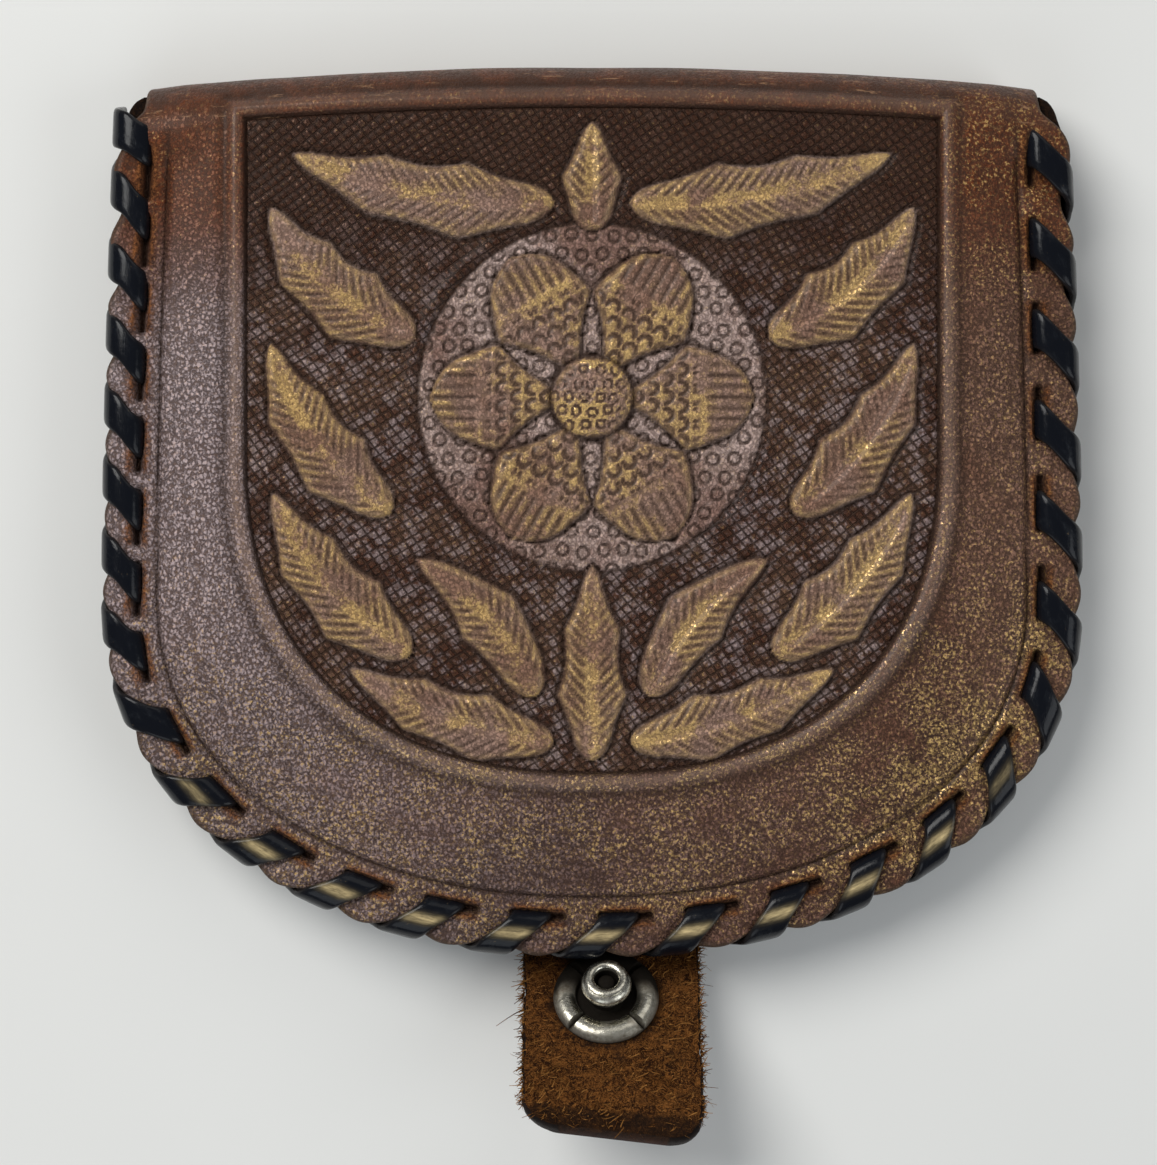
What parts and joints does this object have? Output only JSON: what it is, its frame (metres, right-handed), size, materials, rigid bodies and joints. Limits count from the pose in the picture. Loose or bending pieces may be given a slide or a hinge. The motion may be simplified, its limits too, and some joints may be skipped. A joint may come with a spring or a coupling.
{
  "type": "tooled leather coin purse",
  "caption": "Flat horseshoe-shaped coin purse of tooled leather with a whipstitched edge, folded flap and snap tab.",
  "frame": {"origin": "middle of the purse's outline, on the surface that the closed flap lies on", "axes": "+X across the purse to the right as the tooled side is seen, +Y towards the folded top edge, +Z out of the tooled side"},
  "size_m": [0.1041, 0.1131, 0.0177],
  "materials": {
    "tooled_leather": "tooled, waxed, worn with a bronze sheen",
    "pocket_leather": "smooth, waxed",
    "fold_leather": "smooth, waxed, reddish and rubbed",
    "flap_leather": "smooth outside, raw suede inside",
    "black_lace": "glossy flat lace",
    "snap_metal": "tarnished nickel plate",
    "spring_steel": "bright wire"
  },
  "bodies": {
    "pouch": {"back_panel": "tooled_leather", "front_panel": "pocket_leather", "edge_lace": "black_lace", "flap_fold": "fold_leather", "socket": "snap_metal", "socket_spring": "spring_steel", "socket_cap": "snap_metal"},
    "flap": {"flap": "flap_leather", "stud": "snap_metal", "stud_post": "snap_metal"}
  },
  "joints": [
    {"name": "flap_hinge", "type": "hinge", "parent": "pouch", "child": "flap", "pos_m": [0, 0.05833, 0.0056], "axis": [1, 0, 0], "range_deg": [0, 180], "deforming": ["flap_fold"]}
  ]
}
